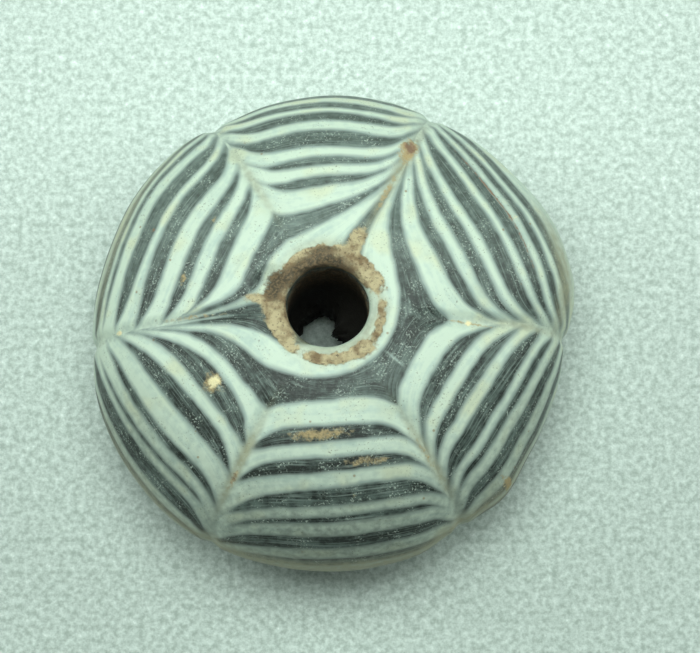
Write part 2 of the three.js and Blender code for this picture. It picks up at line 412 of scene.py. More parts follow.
@dataclass
class CombedTrail:
    """The white trail, wound from the outside in and then dragged outward along the furrows."""

    work: HandWork
    # Distances along the dome are counted from this radius, just outside the rim.
    zero_radius: float = 4.19
    # The last stretch of trail, which runs out under the rim, and how sharply it ends.
    tail: tuple[float, float] = (-3.5, 0.2)
    tail_taper: float = 40.0
    hidden_lay: float = -2.0
    deepest_lay: float = -8.0
    halvings: int = 28
    far_from_white: float = -9.0
    drag_fade: tuple[float, float] = (0.4, 1.0)
    smear_edge: tuple[float, float] = (4.3, 6.3)
    underside_turns: int = 4
    underside_pitch: float = 2.6
    underside_width: float = 1.1
    inner: np.ndarray = field(init=False)
    outer: np.ndarray = field(init=False)
    zero: float = field(init=False)

    def __post_init__(self) -> None:
        """Works out the trail's lay from the readings at the middles of the panels."""
        dome = self.work.section.dome()
        steps = np.hypot(np.diff(dome[:, 0]), np.diff(dome[:, 1]))
        along = np.concatenate([[0.0], np.cumsum(steps)])
        self.zero = float(np.interp(self.zero_radius, dome[:, 0], along))
        turns = [list(turn) for turn in TRAIL_TURNS]
        for _ in range(self.underside_turns):
            last = turns[-1]
            start = [inner + self.underside_pitch for inner, _ in last]
            turns.append([(inner, inner + self.underside_width) for inner in start])
        inner, outer = [], []
        for turn in reversed(turns):
            for panel, edges in enumerate(turn):
                lays = [self._mid_lay(edge, panel, dome[:, 0], along) for edge in edges]
                inner.append(lays[0])
                outer.append(lays[1])
        self.inner = np.array(inner + [self.tail[0]])
        self.outer = np.array(outer + [self.tail[1]])

    def _mid_lay(self, edge: float, panel: int, radii: np.ndarray, along: np.ndarray) -> float:
        """The lay of the glass that is now seen in the middle of a panel.

        Args:
            edge: Where it is seen, as a distance along the dome.
            panel: Which panel.
            radii: The dome's radius, row by row.
            along: The distance from the rim at the same rows.

        Returns:
            The lay in mm.
        """
        if edge <= 0:
            return self.hidden_lay
        place = np.array([edge])
        radius = np.interp(edge + self.zero, along, radii)
        span = self.work.furrow_bearing(panel + 1, place) - self.work.furrow_bearing(panel, place)
        half = np.radians(span) * radius / 2
        return float(self.lay(place, half, half, panel)[0])

    def drag(
        self, number: int, after: bool, lay: np.ndarray, away: np.ndarray, share: np.ndarray
    ) -> np.ndarray:
        """How far one furrow dragged the glass outward.

        Args:
            number: Which furrow.
            after: Whether the glass lies on the side of rising bearings.
            lay: Where the glass lay before combing, as a distance along the dome.
            away: Distance from the furrow.
            share: The same distance as a share of the panel, so that the drag ends at its far side.

        Returns:
            The drag in mm.
        """
        furrow = FURROWS[number % len(FURROWS)]
        reach = furrow.reach_after if after else furrow.reach_before
        full = furrow.drag if after else furrow.drag_before or furrow.drag
        strength = np.interp(lay, DRAG_LAYS, full) * (1.0 - smooth_step(share, *self.drag_fade))
        return strength * np.exp(-away / np.interp(lay, DRAG_LAYS, reach))

    def lay(
        self, distance: np.ndarray, from_left: np.ndarray, to_right: np.ndarray, panel: int
    ) -> np.ndarray:
        """Finds where the glass at a place lay before it was combed, by halving.

        Args:
            distance: Where the glass is now, along the dome.
            from_left: Distance from the furrow before the panel.
            to_right: Distance to the furrow after it.
            panel: Which panel.

        Returns:
            The lay in mm.
        """
        low = np.full(distance.shape, self.deepest_lay)
        high = np.array(distance, float)
        share = from_left / (from_left + to_right)
        for _ in range(self.halvings):
            middle = (low + high) / 2
            moved = middle + self.drag(panel, True, middle, from_left, share)
            moved += self.drag(panel + 1, False, middle, to_right, 1.0 - share)
            too_far = moved > distance
            high = np.where(too_far, middle, high)
            low = np.where(too_far, low, middle)
        return (low + high) / 2

    def inside_white(self, lay: np.ndarray, panel: int, share: np.ndarray) -> np.ndarray:
        """How far inside a white band a lay is.

        Args:
            lay: Where the glass lay.
            panel: Which panel.
            share: Place across the panel, from 0 to 1.

        Returns:
            Millimetres of lay, positive in white glass and negative in dark.
        """
        panels = len(FURROWS)
        index = np.arange(len(self.inner), dtype=float)
        best = np.full(lay.shape, self.far_from_white)
        last = len(self.inner) - 1
        for first in range(0, len(self.inner), panels):
            place = first + panel - 0.5 + share
            at = np.clip(place, 0, last)
            band_inner = read_along(index, self.inner, at)
            band_outer = read_along(index, self.outer, at)
            taper = self.tail_taper * np.maximum(0.0, place - last + 0.5)
            best = np.maximum(best, np.minimum(lay - band_inner, band_outer - lay) - taper)
        return best

    def smeared(
        self, distance: np.ndarray, from_left: np.ndarray, to_right: np.ndarray, panel: int
    ) -> np.ndarray:
        """How far white glass was smeared over the dark where the comb passed, away from the bore.

        Args:
            distance: Where the glass is, along the dome.
            from_left: Distance from the furrow before the panel.
            to_right: Distance to the furrow after it.
            panel: Which panel.

        Returns:
            Millimetres to add to the depth in white glass.
        """
        outside = smooth_step(distance, *self.smear_edge)
        left = np.exp(-from_left / FURROWS[panel].smear_after)
        right = np.exp(-to_right / FURROWS[(panel + 1) % len(FURROWS)].smear_before)
        return outside * np.maximum(left, right)


class Dirt(Enum):
    """What a deposit on the glass is."""

    # Thin and even: a brown film, white glass greyed partly by weathering and partly by painted shade on its
    # lower side, painted sheen on the dark glass, and a scratch.
    FILM = "film"
    DULL_AND_SHADE = "dull_and_shade"
    BLOOM = "painted_sheen"
    GRAZE = "graze"
    # Crusts: dry soil, dark mud, which in the rim's chip is partly painted shade, tan and red-brown stains,
    # and pale chalky spots, two of which are painted glints.
    SOIL = "soil"
    MUD = "mud"
    RUST = "rust"
    IRON = "iron"
    CHALK = "chalk"


# How steeply a deposit thins out from its middle, and how abruptly.
PATCH_FALL = 1.4
PATCH_POWER = 1.5


@dataclass(frozen=True)
class Patch:
    """A deposit or stain: where it sits, how far it reaches, and how proud of the glass it stands.

    One that follows the combed glass is placed by its lay before combing, not by its distance.
    """

    kind: Dirt
    bearing: float
    distance: float
    half_width: float
    half_run: float
    amount: float = 1.0
    height: float = 0.0
    combed: bool = False

    def amount_at(self, bearing: np.ndarray, radius: np.ndarray, distance: np.ndarray) -> np.ndarray:
        """How thick the patch lies at places on the glass.

        Args:
            bearing: Bearings in degrees.
            radius: Distances from the axis.
            distance: Distances along the dome, or lays for a patch that follows the combed glass.

        Returns:
            The thickness, which is the patch's full amount in its middle.
        """
        across = radius * np.radians(wrapped(bearing - self.bearing)) / self.half_width
        along = (distance - self.distance) / self.half_run
        return self.amount * np.exp(-PATCH_FALL * (across ** 2 + along ** 2) ** PATCH_POWER)


# Every deposit, stain, dull place and scratch, with some painted shade and two painted glints: bearing,
# distance along the dome, half its width across and half its length along, then how thick it lies and how
# proud it stands.
PATCHES = (
    Patch(Dirt.SOIL, 176.0, -0.3, 2.3, 1.0, 1.1, 0.08),
    Patch(Dirt.SOIL, 174.0, 1.0, 0.45, 1.2, 0.9, 0.05),
    Patch(Dirt.SOIL, 66.0, 0.9, 0.75, 1.5, 1.1, 0.1),
    Patch(Dirt.SOIL, 100.0, -1.0, 4.6, 1.0, 1.2, 0.06),
    Patch(Dirt.SOIL, 45.0, -0.7, 1.8, 0.7, 1.0, 0.05),
    Patch(Dirt.SOIL, -160.0, -0.7, 2.0, 0.8, 1.0, 0.05),
    Patch(Dirt.SOIL, -50.0, 0.15, 1.3, 0.55, 0.9, 0.04),
    Patch(Dirt.SOIL, -80.0, -0.15, 3.2, 0.4, 0.7, 0.03),
    # Dark mud in the chip at the rim: partly soil, partly painted shade of the chip's hollow.
    Patch(Dirt.MUD, 160.0, 0.0, 1.5, 0.85, 0.95),
    Patch(Dirt.MUD, 108.0, -1.0, 4.6, 0.95, 0.9),
    Patch(Dirt.MUD, 92.0, -0.1, 1.6, 0.3, 0.5),
    Patch(Dirt.FILM, 100.0, -0.2, 4.2, 1.0, 0.9),
    Patch(Dirt.FILM, -100.0, -0.6, 4.2, 0.9, 0.75),
    Patch(Dirt.FILM, -20.0, -0.5, 3.0, 0.9, 0.7),
    Patch(Dirt.IRON, 64.0, 9.85, 0.6, 0.8, 0.9, 0.22),
    Patch(Dirt.RUST, 64.0, 9.6, 0.95, 1.5, 0.85, 0.06),
    Patch(Dirt.CHALK, -146.0, 5.5, 0.55, 0.6, 0.9, 0.06),
    Patch(Dirt.RUST, -146.0, 5.6, 0.95, 1.0, 0.75, 0.03),
    Patch(Dirt.RUST, -42.0, 15.7, 0.5, 1.6, 0.9, 0.05),
    Patch(Dirt.CHALK, -43.0, 15.3, 0.3, 0.6, 0.6, 0.05),
    Patch(Dirt.CHALK, 28.0, 11.2, 0.35, 0.45, 0.7, 0.02),
    Patch(Dirt.RUST, 28.0, 11.0, 0.5, 0.7, 0.45),
    Patch(Dirt.IRON, 154.0, 10.6, 0.2, 0.3, 0.7),
    Patch(Dirt.RUST, -94.0, 4.85, 3.0, 0.6, 0.68, 0.01, True),
    Patch(Dirt.RUST, -76.0, 7.1, 2.4, 0.5, 0.55, combed=True),
    Patch(Dirt.RUST, 168.0, 6.7, 0.6, 0.3, 0.7),
    Patch(Dirt.RUST, 142.0, 6.4, 0.5, 0.3, 0.55),
    Patch(Dirt.CHALK, -82.0, 9.6, 0.3, 0.25, 0.55),
    # The next two chalk spots are painted glints: pale highlights painted on the glass.
    Patch(Dirt.CHALK, -6.0, 6.2, 0.3, 0.35, 0.9),
    Patch(Dirt.CHALK, -175.5, 12.2, 0.25, 0.45, 0.9),
    Patch(Dirt.RUST, -6.0, 6.6, 0.16, 2.8, 0.65),
    Patch(Dirt.RUST, 63.5, 5.5, 0.3, 2.6, 0.6),
    Patch(Dirt.RUST, -176.0, 6.0, 0.25, 3.6, 0.5),
    Patch(Dirt.SOIL, -119.0, 10.0, 0.25, 1.1, 0.75),
    Patch(Dirt.RUST, -56.0, 9.0, 0.2, 2.6, 0.5),
    Patch(Dirt.FILM, -119.3, 8.5, 0.4, 4.5, 1.0),
    Patch(Dirt.FILM, -55.6, 9.0, 0.4, 4.5, 0.9),
    Patch(Dirt.FILM, 63.5, 7.5, 0.45, 6.0, 0.9),
    Patch(Dirt.FILM, 119.6, 6.5, 0.35, 3.5, 0.7),
    Patch(Dirt.FILM, -3.5, 11.0, 0.35, 3.5, 0.7),
    Patch(Dirt.FILM, -92.0, 17.2, 15.0, 1.5, 0.75),
    Patch(Dirt.FILM, -48.0, 16.6, 6.0, 1.4, 0.9),
    Patch(Dirt.FILM, -140.0, 16.8, 8.0, 1.3, 0.6),
    Patch(Dirt.FILM, 155.0, 14.9, 9.0, 1.3, 0.75),
    # The dull patches grey the white glass round the lower and right rim: partly weathering, partly painted
    # shade on the sides turned from the light.
    Patch(Dirt.DULL_AND_SHADE, -90.0, 14.0, 14.0, 4.6, 1.1),
    Patch(Dirt.DULL_AND_SHADE, -90.0, 9.5, 12.0, 4.0, 0.35),
    Patch(Dirt.DULL_AND_SHADE, -148.0, 14.5, 6.0, 4.4, 0.8),
    Patch(Dirt.DULL_AND_SHADE, -30.0, 15.0, 7.0, 4.4, 0.75),
    Patch(Dirt.DULL_AND_SHADE, 14.0, 14.8, 5.0, 1.6, 0.5),
    Patch(Dirt.FILM, -90.0, 18.5, 14.0, 3.0, 1.0),
    Patch(Dirt.FILM, 12.0, 14.4, 5.0, 1.2, 1.0),
    Patch(Dirt.FILM, 15.0, 18.0, 6.0, 1.8, 0.8),
    Patch(Dirt.IRON, 34.0, 10.7, 8.0, 0.13, 0.75, combed=True),
    Patch(Dirt.GRAZE, -39.0, 2.0, 0.12, 0.95, 0.9),
)


@dataclass(frozen=True)
class Link:
    """A socket of a node, to be joined to another node's input."""

    node: bpy.types.Node
    output: str | int = 0


class NodeBench:
    """Adds nodes to one material."""

    def __init__(self, material: bpy.types.Material) -> None:
        """Empties the material's node tree and keeps it at hand."""
        material.use_nodes = True
        self.tree = material.node_tree
        self.tree.nodes.clear()

    def add(self, kind: str, inputs: dict | None = None, out: str | int = 0, **settings: object) -> Link:
        """Adds a node, with its settings and links.

        Args:
            kind: Blender's name of the node's type, without its first words.
            inputs: Values or links for its input sockets, by name or number.
            out: The output socket that is wanted.
            settings: Values for its own properties.

        Returns:
            The wanted output of the new node.
        """
        node = self.tree.nodes.new("ShaderNode" + kind)
        for name, value in settings.items():
            setattr(node, name, value)
        for name, value in (inputs or {}).items():
            if isinstance(value, Link):
                self.tree.links.new(value.node.outputs[value.output], node.inputs[name])
            else:
                node.inputs[name].default_value = value
        return Link(node, out)


def rise(value: Link, low: float, high: float, end: float = 1.0, start: float = 0.0) -> dict:
    """The inputs of a range that rises from one value to another.

    Args:
        value: What is read.
        low: Where the rise starts.
        high: Where the rise ends.
        end: The result there.
        start: The result before the rise.

    Returns:
        Socket names and what goes into them.
    """
    return {"Value": value, "From Min": low, "From Max": high, "To Min": start, "To Max": end}


def coated(bench: NodeBench, base: Link | tuple, coats: list[tuple[Link, object]]) -> Link:
    """Lays coats of colour over each other.

    Args:
        bench: Where the nodes go.
        base: The lowest colour.
        coats: Each coat's cover, from 0 to 1, and its colour.

    Returns:
        The colour that shows.
    """
    for cover, colour in coats:
        base = bench.add("Mix", {0: cover, 6: base, 7: colour}, 2, data_type="RGBA")
    return base


@dataclass(frozen=True)
class TrailedGlassFinish:
    """Ancient soda-lime glass, wound hot round a rod, with opaque white trails combed and rolled flush.

    Burial has etched it, so it has a satin skin: a broad soft sheen over the dark glass, fine pale streaks
    along the trails, pin-prick pits with brown soil in them, and a crust of soil at the bore.
    """

    dark: str = "#151b18"
    veil: str = "#5d6a65"
    line: str = "#8b9791"
    speck: str = "#b3bdb3"
    white: str = "#ccd8c9"
    white_rim: str = "#84928f"
    white_shade: str = "#a6bab6"
    cream: str = "#d3d1ac"
    pit: str = "#6d6f60"
    brown_pit: str = "#8b7350"
    film: str = "#9d987c"
    # grey of the white glass dulled partly by weathering and partly by painted shade
    dull_and_shade: str = "#747d74"
    # pale grey-green of the painted sheen on the far side of the dark glass
    painted_sheen: str = "#87948e"
    graze: str = "#a9b8b1"
    soil_dark: str = "#836c50"
    soil_pale: str = "#bfae8b"
    soil_crumb: str = "#54473a"
    mud: str = "#4b4235"
    # near-black painted shade deep in the bore
    bore_painted_shade: str = "#1b1712"
    rust: str = "#b09a72"
    iron: str = "#8e705c"
    chalk: str = "#efe0b4"
    crease: str = "#88938b"
    ior: float = 1.52
    # Half the width of a trail's soft edge, and the width of its thin grey rim, in mm.
    edge_softness: float = 0.1
    rim_width: float = 0.4
    # Length and width of the streaks that the drawn-out glass shows, in mm. The finest real ones are too
    # thin to show, so they are drawn coarser than they are.
    fine_streak: tuple[float, float] = (1.8, 0.1)
    broad_streak: tuple[float, float] = (5.0, 0.45)
    # Size in mm and detail of each grain. The finest real specks are too small to show, so they are drawn
    # coarser than they are.
    grains: tuple[tuple[str, float, float], ...] = (
        ("speck", 0.14, 3.0), ("cluster", 1.3, 1.0), ("mottle", 0.5, 3.0), ("cloud", 2.6, 2.0),
        ("soil", 0.2, 4.0),
    )
    streak_detail: float = 4.0
    pit_spacing: float = 1.5
    pit_size: float = 0.13
    # Where each part of the look starts and ends in its grain, then its strength at the end and the start.
    trail_wobble: tuple[float, ...] = (0.3, 0.7, 0.05, -0.05)
    crease_breaks: tuple[float, ...] = (0.3, 0.7, 1.0, 0.15)
    earth_tones: tuple[float, ...] = (0.8, 1.15)
    crumbs: tuple[float, ...] = (0.56, 0.7, 0.8)
    clay_lumps: tuple[float, ...] = (0.42, 0.62, 0.8)
    film_breaks: tuple[float, ...] = (0.3, 0.7, 0.8, 0.4)
    crust_breaks: tuple[float, ...] = (1.15, 1.7)
    veils: tuple[float, ...] = (1.4, 1.8, 0.85)
    lines: tuple[float, ...] = (0.55, 0.72, 0.6)
    haze: tuple[float, ...] = (0.5, 0.68, 0.3)
    specks: tuple[float, ...] = (0.56, 0.68, 0.8)
    speck_clusters: tuple[float, ...] = (0.42, 0.6)
    white_shades: tuple[float, ...] = (0.75, 1.05, 0.6)
    cream_clouds: tuple[float, ...] = (0.53, 0.68, 0.45)
    pin_pricks: tuple[float, ...] = (0.6, 0.7, 0.7)
    prick_clusters: tuple[float, ...] = (0.45, 0.6)
    brown_pit_areas: tuple[float, ...] = (0.44, 0.5)
    satin: tuple[float, ...] = (0.3, 0.75, 0.6, 0.42)
    smoother_white: tuple[float, ...] = (0.0, 1.0, 0.15, 1.0)
    # How much each grain counts where several are added.
    veil_weights: tuple[tuple[str, float], ...] = (("mottle", 0.8), ("cloud", 0.6))
    fine_in_veil: float = 0.7
    crust_weights: tuple[tuple[str, float], ...] = (("soil", 0.8), ("mottle", 0.9))
    mottle_in_white: float = 0.6
    rim_cover: float = 0.9
    brown_pit_cover: float = 0.7
    dirt_roughness: float = 0.35
    speck_relief: float = 0.4
    crumb_relief: float = 3.5
    relief_strength: float = 0.7
    relief_depth: float = 0.03

    def build(self) -> bpy.types.Material:
        """Makes the material.

        Returns:
            The glass with its trails, weathering and dirt.
        """
        material = bpy.data.materials.new("soda_lime_glass_trailed_combed_marvered_weathered")
        bench = NodeBench(material)
        place = bench.add("TexCoord", out="Object")
        grain = self._grains(bench, place)
        trail = bench.add("Attribute", out="Fac", attribute_name="trail_edge")
        wobble = bench.add("MapRange", rise(grain["cluster"], *self.trail_wobble))
        edge = bench.add("Math", {0: trail, 1: wobble}, operation="ADD")
        white_cover = bench.add("MapRange", rise(edge, -self.edge_softness, self.edge_softness))
        groove = bench.add("Attribute", out="Fac", attribute_name="crease")
        broken = bench.add("MapRange", rise(grain["mottle"], *self.crease_breaks))
        crease = bench.add("Math", {0: groove, 1: broken}, operation="MULTIPLY")
        glass = coated(bench, self._dark_glass(bench, grain), [
            (white_cover, self._white_glass(bench, place, grain, edge)),
            (crease, linear_colour(self.crease)),
        ])
        inner = (Dirt.DULL_AND_SHADE, Dirt.BLOOM)
        covers = {kind: self._cover(bench, kind, grain) for kind in Dirt if kind not in inner}
        # The bore mask carries the painted shade deep in the bore, and roughens the wall like a crust.
        bore = bench.add("Attribute", out="Fac", attribute_name="bore")
        dirt = bore
        for kind in (Dirt.SOIL, Dirt.MUD, Dirt.RUST, Dirt.IRON, Dirt.CHALK):
            dirt = bench.add("Math", {0: dirt, 1: covers[kind]}, operation="MAXIMUM")
        satin = bench.add("MapRange", rise(grain["fine"], *self.satin))
        rough = bench.add("Math", {0: dirt, 1: self.dirt_roughness, 2: satin}, operation="MULTIPLY_ADD")
        shader = bench.add("BsdfPrincipled", {
            "Base Color": self._dirtied(bench, glass, covers, bore, grain),
            "Roughness": rough,
            "IOR": self.ior,
            "Normal": self._relief(bench, dirt, white_cover, grain),
        })
        bench.add("OutputMaterial", {"Surface": shader})
        return material

    def _grains(self, bench: NodeBench, place: Link) -> dict[str, Link]:
        """Lays out the grains, even in all directions, and the streaks, drawn out along the trails.

        Args:
            bench: Where the nodes go.
            place: Places on the whorl.

        Returns:
            Each grain by its name.
        """
        grain = {}
        for name, size, detail in self.grains:
            sockets = {"Vector": place, "Scale": 1 / (size * MM), "Detail": detail}
            grain[name] = bench.add("TexNoise", sockets, "Fac")
        for name, (length, width) in (("fine", self.fine_streak), ("broad", self.broad_streak)):
            flow = bench.add("Attribute", out="Vector", attribute_name="flow")
            stretch = bench.add("Mapping", {"Vector": flow, "Scale": (1 / length, 1 / length, 1 / width)})
            sockets = {"Vector": stretch, "Scale": 1.0, "Detail": self.streak_detail}
            grain[name] = bench.add("TexNoise", sockets, "Fac")
        return grain

    def _dirtied(
        self, bench: NodeBench, glass: Link, covers: dict[Dirt, Link], bore: Link, grain: dict[str, Link]
    ) -> Link:
        """Lays the films, soil, rust and chalk over the colour of the glass, with painted shade deep in the
        bore and two painted glints among the chalk.

        Args:
            bench: Where the nodes go.
            glass: The colour of the clean glass.
            covers: How much each deposit covers it.
            bore: How deep in the bore a place is, where it is painted near-black as painted shade.
            grain: The finish's grains.

        Returns:
            The colour that shows.
        """
        tone = bench.add("Math", {0: grain["mottle"], 1: grain["cluster"]}, operation="ADD")
        earth = coated(bench, linear_colour(self.soil_dark), [
            (bench.add("MapRange", rise(tone, *self.earth_tones)), linear_colour(self.soil_pale)),
            (bench.add("MapRange", rise(grain["soil"], *self.crumbs)), linear_colour(self.soil_crumb)),
        ])
        clay = coated(bench, linear_colour(self.mud), [
            (bench.add("MapRange", rise(grain["soil"], *self.clay_lumps)), linear_colour(self.soil_dark)),
        ])
        return coated(bench, glass, [
            (covers[Dirt.FILM], linear_colour(self.film)),
            (covers[Dirt.GRAZE], linear_colour(self.graze)),
            (covers[Dirt.SOIL], earth),
            (covers[Dirt.MUD], clay),
            # painted shade: near-black deep in the bore
            (bore, linear_colour(self.bore_painted_shade)),
            (covers[Dirt.RUST], linear_colour(self.rust)),
            (covers[Dirt.IRON], linear_colour(self.iron)),
            (covers[Dirt.CHALK], linear_colour(self.chalk)),
        ])

    def _relief(self, bench: NodeBench, dirt: Link, white_cover: Link, grain: dict[str, Link]) -> Link:
        """Makes the fine relief: streaks and specks, weaker over the white, and crumbs on the dirt.

        Args:
            bench: Where the nodes go.
            dirt: How much crust covers the glass.
            white_cover: How much white glass shows.
            grain: The finish's grains.

        Returns:
            The bent normal.
        """
        crumbs = bench.add("Math", {0: grain["soil"], 1: dirt}, operation="MULTIPLY")
        relief = bench.add(
            "Math", {0: grain["speck"], 1: self.speck_relief, 2: grain["fine"]}, operation="MULTIPLY_ADD"
        )
        smooth = bench.add("MapRange", rise(white_cover, *self.smoother_white))
        relief = bench.add("Math", {0: relief, 1: smooth}, operation="MULTIPLY")
        relief = bench.add("Math", {0: crumbs, 1: self.crumb_relief, 2: relief}, operation="MULTIPLY_ADD")
        depth = self.relief_depth * MM
        return bench.add("Bump", {"Strength": self.relief_strength, "Distance": depth, "Height": relief})

    def _cover(self, bench: NodeBench, kind: Dirt, grain: dict[str, Link]) -> Link:
        """How much a deposit covers the glass: a thin film evenly, a crust broken up by its own grain.

        Args:
            bench: Where the nodes go.
            kind: Which deposit.
            grain: The finish's grains.

        Returns:
            Its cover, from 0 to 1.
        """
        amount = bench.add("Attribute", out="Fac", attribute_name=kind.value)
        if kind in (Dirt.FILM, Dirt.DULL_AND_SHADE, Dirt.BLOOM, Dirt.GRAZE):
            thin = bench.add("MapRange", rise(grain["mottle"], *self.film_breaks))
            return bench.add("Math", {0: amount, 1: thin}, operation="MULTIPLY")
        broken = amount
        for name, weight in self.crust_weights:
            broken = bench.add("Math", {0: grain[name], 1: weight, 2: broken}, operation="MULTIPLY_ADD")
        return bench.add("MapRange", rise(broken, *self.crust_breaks), interpolation_type="SMOOTHSTEP")

    def _dark_glass(self, bench: NodeBench, grain: dict[str, Link]) -> Link:
        """The colour of the dark glass: near-black green under streaks and specks of pale weathering, with a
        painted sheen that pales it on the far side.

        Args:
            bench: Where the nodes go.
            grain: The finish's grains.

        Returns:
            The colour.
        """
        summed = bench.add(
            "Math", {0: grain["fine"], 1: self.fine_in_veil, 2: grain["broad"]}, operation="MULTIPLY_ADD"
        )
        for name, weight in self.veil_weights:
            summed = bench.add("Math", {0: grain[name], 1: weight, 2: summed}, operation="MULTIPLY_ADD")
        veil = bench.add("MapRange", rise(summed, *self.veils))
        line = bench.add("MapRange", rise(grain["fine"], *self.lines))
        haze = bench.add("MapRange", rise(grain["soil"], *self.haze))
        dots = bench.add("MapRange", rise(grain["speck"], *self.specks))
        cluster = bench.add("MapRange", rise(grain["cluster"], *self.speck_clusters))
        speck = bench.add("Math", {0: dots, 1: cluster}, operation="MULTIPLY")
        return coated(bench, linear_colour(self.dark), [
            (veil, linear_colour(self.veil)),
            # painted sheen: the dark glass painted paler on the far side, which faces the key light
            (self._cover(bench, Dirt.BLOOM, grain), linear_colour(self.painted_sheen)),
            (line, linear_colour(self.line)),
            (haze, linear_colour(self.veil)),
            (speck, linear_colour(self.speck)),
        ])

    def _white_glass(self, bench: NodeBench, place: Link, grain: dict[str, Link], edge: Link) -> Link:
        """The colour of the white glass: opaque, faintly green, thin and grey at its edges, pitted, and
        greyed round the lower rim partly by weathering and partly by painted shade.

        Args:
            bench: Where the nodes go.
            place: Places on the whorl.
            grain: The finish's grains.
            edge: How deep in the white a place is.

        Returns:
            The colour.
        """
        uneven = bench.add(
            "Math", {0: grain["mottle"], 1: self.mottle_in_white, 2: grain["broad"]}, operation="MULTIPLY_ADD"
        )
        shade = bench.add("MapRange", rise(uneven, *self.white_shades))
        cream = bench.add("MapRange", rise(grain["cloud"], *self.cream_clouds))
        inward = rise(edge, 0.0, self.rim_width, 0.0, self.rim_cover)
        thin = bench.add("MapRange", inward, interpolation_type="SMOOTHSTEP")
        coats = [
            (shade, linear_colour(self.white_shade)),
            (cream, linear_colour(self.cream)),
            (thin, linear_colour(self.white_rim)),
        ]
        dots = bench.add("MapRange", rise(grain["speck"], *self.pin_pricks))
        cluster = bench.add("MapRange", rise(grain["cluster"], *self.prick_clusters))
        pits = bench.add("Math", {0: dots, 1: cluster}, operation="MULTIPLY")
        near = bench.add("TexVoronoi", {"Vector": place, "Scale": 1 / (self.pit_spacing * MM)}, "Distance")
        share = self.pit_size / self.pit_spacing
        hole = bench.add("MapRange", rise(near, share / 2, share, 0.0, self.brown_pit_cover))
        some = bench.add("MapRange", rise(grain["mottle"], *self.brown_pit_areas))
        brown = bench.add("Math", {0: hole, 1: some}, operation="MULTIPLY")
        coats += [
            # greys the white partly as weathering and partly as painted shade on the lower rim
            (self._cover(bench, Dirt.DULL_AND_SHADE, grain), linear_colour(self.dull_and_shade)),
            (pits, linear_colour(self.pit)),
            (brown, linear_colour(self.brown_pit)),
        ]
        return coated(bench, linear_colour(self.white), coats)


